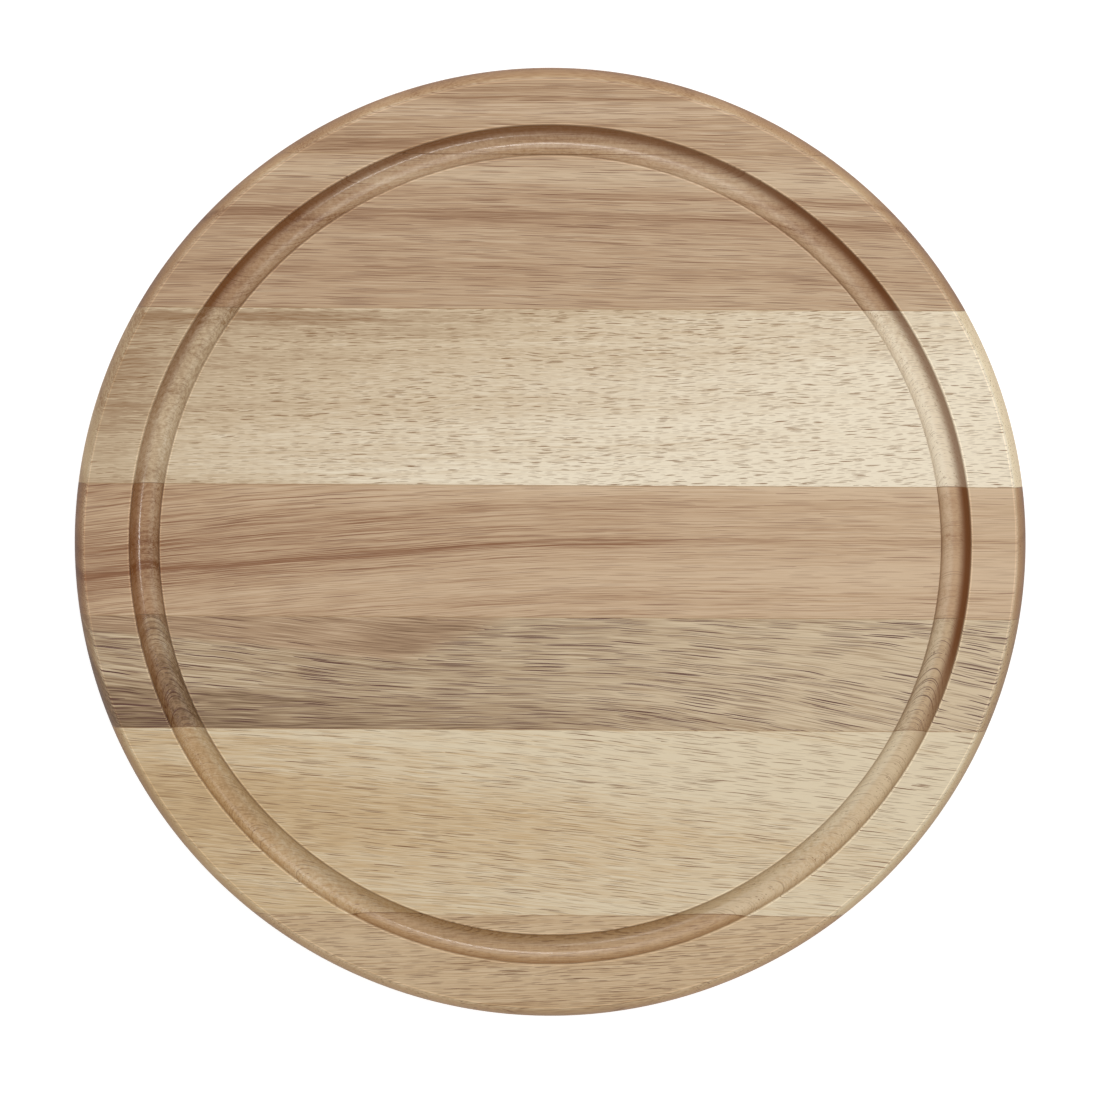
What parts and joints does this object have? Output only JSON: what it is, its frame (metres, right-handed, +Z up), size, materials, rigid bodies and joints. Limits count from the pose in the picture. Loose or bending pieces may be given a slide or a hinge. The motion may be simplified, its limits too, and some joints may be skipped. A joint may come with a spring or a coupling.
{
  "type": "round serving board",
  "caption": "Round edge-glued hardwood serving board with a rounded rim and a ring-shaped juice groove near the edge of its flat face.",
  "frame": {"origin": "centre of the flat underside, on the surface the board lies on", "axes": "+X along the wood grain, +Y across the staves towards the back of the board, +Z up out of the grooved face"},
  "size_m": [0.3, 0.3, 0.015],
  "materials": {
    "tan_wood": "oiled satin",
    "brown_wood": "oiled satin",
    "cream_wood": "oiled satin",
    "red_wood": "oiled satin",
    "dark_wood": "oiled satin",
    "pale_wood": "oiled satin",
    "front_wood": "oiled satin",
    "cured_glue": "sanded flush"
  },
  "bodies": {
    "root": {"stave_1": "tan_wood", "stave_2": "brown_wood", "stave_3": "cream_wood", "stave_4": "red_wood", "stave_5": "dark_wood", "stave_6": "pale_wood", "stave_7": "front_wood", "glue_line_1": "cured_glue", "glue_line_2": "cured_glue", "glue_line_3": "cured_glue", "glue_line_4": "cured_glue", "glue_line_5": "cured_glue", "glue_line_6": "cured_glue"}
  },
  "joints": []
}
